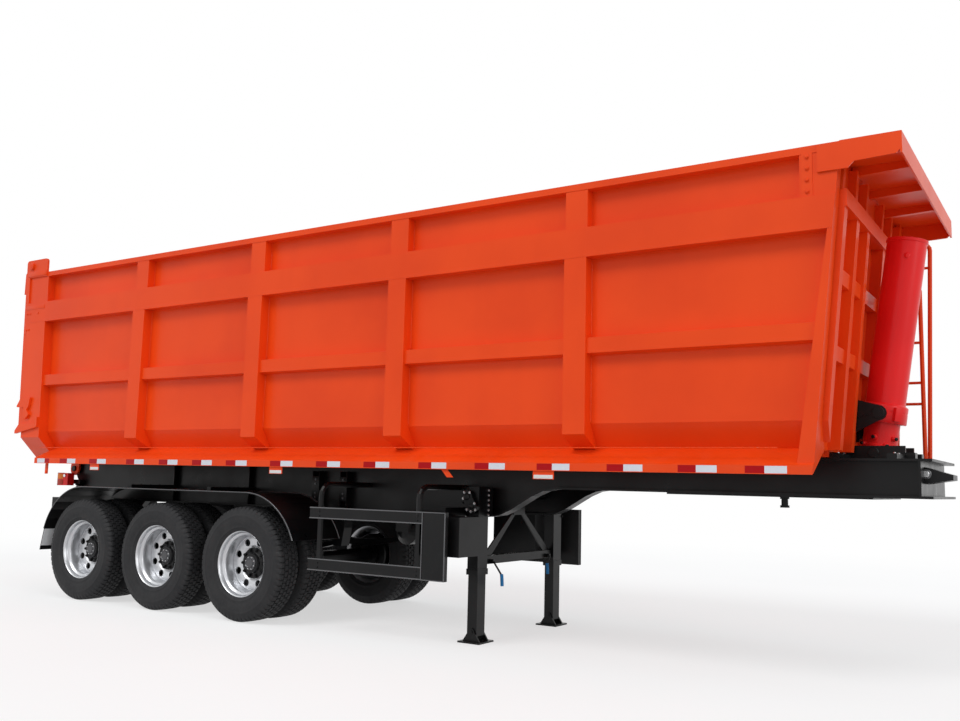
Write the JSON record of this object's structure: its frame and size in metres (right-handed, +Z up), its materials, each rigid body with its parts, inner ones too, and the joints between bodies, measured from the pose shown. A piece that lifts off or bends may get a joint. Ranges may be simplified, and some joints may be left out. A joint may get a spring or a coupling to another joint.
{
  "type": "dump semi-trailer",
  "caption": "Tipping semi-trailer with a deep steel body, top-hinged tailgate, telescopic front hoist, twin-tyred axles and landing legs.",
  "frame": {"origin": "on the ground below the middle of the overall box", "axes": "+X forward to the coupling end, +Y to the left side, +Z up"},
  "size_m": [9.75, 2.5, 3.79],
  "materials": {
    "orange_paint": "gloss orange paint",
    "red_paint": "gloss red paint",
    "black_paint": "satin black paint",
    "tyre_rubber": "matt tyre rubber",
    "silver_paint": "silver wheel paint",
    "chrome_rod": "ground and plated tube"
  },
  "bodies": {
    "frame": {"frame_beam_left": "black_paint", "frame_beam_right": "black_paint", "kingpin_plate": "black_paint", "front_bolster": "black_paint", "suspension_left": "black_paint", "suspension_right": "black_paint", "axle_1": "black_paint", "axle_2": "black_paint", "axle_3": "black_paint", "fender_left": "black_paint", "fender_right": "black_paint", "side_guard_left": "black_paint", "side_guard_right": "black_paint", "landing_leg_left": "black_paint", "landing_leg_right": "black_paint", "leg_cross_bar": "black_paint", "tool_box": "black_paint", "tool_box_left": "black_paint", "air_tank": "black_paint", "rear_bumper": "black_paint", "rear_lamp_left": "red_paint", "rear_lamp_right": "red_paint", "mud_flap_left": "black_paint", "mud_flap_right": "black_paint", "hoist_cradle": "black_paint", "ladder": "orange_paint"},
    "bed": {"body_floor": "orange_paint", "side_wall_left": "orange_paint", "side_wall_right": "orange_paint", "front_wall": "orange_paint", "canopy": "orange_paint", "hoist_bracket_left": "black_paint", "hoist_bracket_right": "black_paint"},
    "tailgate": {"tailgate": "orange_paint"},
    "hoist_base": {"hoist_base": "red_paint"},
    "hoist_stage_1": {"hoist_stage_1": "chrome_rod"},
    "hoist_stage_2": {"hoist_stage_2": "chrome_rod"},
    "hoist_stage_3": {"hoist_stage_3": "chrome_rod"},
    "hoist_stage_4": {"hoist_stage_4": "chrome_rod"},
    "hoist_cover": {"hoist_cover": "red_paint"},
    "wheels_1_left": {"wheel_1_left": "silver_paint", "tyre_outer_1_left": "tyre_rubber", "tyre_inner_1_left": "tyre_rubber"},
    "wheels_1_right": {"wheel_1_right": "silver_paint", "tyre_outer_1_right": "tyre_rubber", "tyre_inner_1_right": "tyre_rubber"},
    "wheels_2_left": {"wheel_2_left": "silver_paint", "tyre_outer_2_left": "tyre_rubber", "tyre_inner_2_left": "tyre_rubber"},
    "wheels_2_right": {"wheel_2_right": "silver_paint", "tyre_outer_2_right": "tyre_rubber", "tyre_inner_2_right": "tyre_rubber"},
    "wheels_3_left": {"wheel_3_left": "silver_paint", "tyre_outer_3_left": "tyre_rubber", "tyre_inner_3_left": "tyre_rubber"},
    "wheels_3_right": {"wheel_3_right": "silver_paint", "tyre_outer_3_right": "tyre_rubber", "tyre_inner_3_right": "tyre_rubber"}
  },
  "joints": [
    {"name": "bed_tip", "type": "hinge", "parent": "frame", "child": "bed", "pos_m": [-4.585, 0, 1.38], "axis": [0, -1, 0], "range_deg": [0, 45]},
    {"name": "tailgate_swing", "type": "hinge", "parent": "bed", "child": "tailgate", "pos_m": [-4.71, 0, 3.715], "axis": [0, 1, 0], "range_deg": [0, 60]},
    {"name": "hoist_swing", "type": "hinge", "parent": "frame", "child": "hoist_base", "pos_m": [4.33, 0, 1.61], "axis": [0, -1, 0], "range_deg": [0, 33.32]},
    {"name": "hoist_slide_1", "type": "slide", "parent": "hoist_base", "child": "hoist_stage_1", "axis": [0.153, 0, 0.9882], "range_m": [0, 1.3648]},
    {"name": "hoist_slide_2", "type": "slide", "parent": "hoist_stage_1", "child": "hoist_stage_2", "axis": [0.153, 0, 0.9882], "range_m": [0, 1.3648]},
    {"name": "hoist_slide_3", "type": "slide", "parent": "hoist_stage_2", "child": "hoist_stage_3", "axis": [0.153, 0, 0.9882], "range_m": [0, 1.3648]},
    {"name": "hoist_slide_4", "type": "slide", "parent": "hoist_stage_3", "child": "hoist_stage_4", "axis": [0.153, 0, 0.9882], "range_m": [0, 1.3648]},
    {"name": "hoist_slide_5", "type": "slide", "parent": "hoist_stage_4", "child": "hoist_cover", "axis": [0.153, 0, 0.9882], "range_m": [0, 1.3648]},
    {"name": "wheel_spin_1_left", "type": "hinge", "parent": "frame", "child": "wheels_1_left", "pos_m": [-3.425, 0.923, 0.527], "axis": [0, 1, 0], "continuous": true},
    {"name": "wheel_spin_1_right", "type": "hinge", "parent": "frame", "child": "wheels_1_right", "pos_m": [-3.425, -0.923, 0.527], "axis": [0, 1, 0], "continuous": true},
    {"name": "wheel_spin_2_left", "type": "hinge", "parent": "frame", "child": "wheels_2_left", "pos_m": [-2.225, 0.923, 0.527], "axis": [0, 1, 0], "continuous": true},
    {"name": "wheel_spin_2_right", "type": "hinge", "parent": "frame", "child": "wheels_2_right", "pos_m": [-2.225, -0.923, 0.527], "axis": [0, 1, 0], "continuous": true},
    {"name": "wheel_spin_3_left", "type": "hinge", "parent": "frame", "child": "wheels_3_left", "pos_m": [-1.025, 0.923, 0.527], "axis": [0, 1, 0], "continuous": true},
    {"name": "wheel_spin_3_right", "type": "hinge", "parent": "frame", "child": "wheels_3_right", "pos_m": [-1.025, -0.923, 0.527], "axis": [0, 1, 0], "continuous": true}
  ],
  "couplings": [
    {"joint": "hoist_swing", "follows": "bed_tip", "ratio": 0.73939},
    {"joint": "hoist_slide_1", "follows": "bed_tip", "m_per_rad": 1.7365},
    {"joint": "hoist_slide_2", "follows": "bed_tip", "m_per_rad": 1.7365},
    {"joint": "hoist_slide_3", "follows": "bed_tip", "m_per_rad": 1.7365},
    {"joint": "hoist_slide_4", "follows": "bed_tip", "m_per_rad": 1.7365},
    {"joint": "hoist_slide_5", "follows": "bed_tip", "m_per_rad": 1.7365}
  ]
}
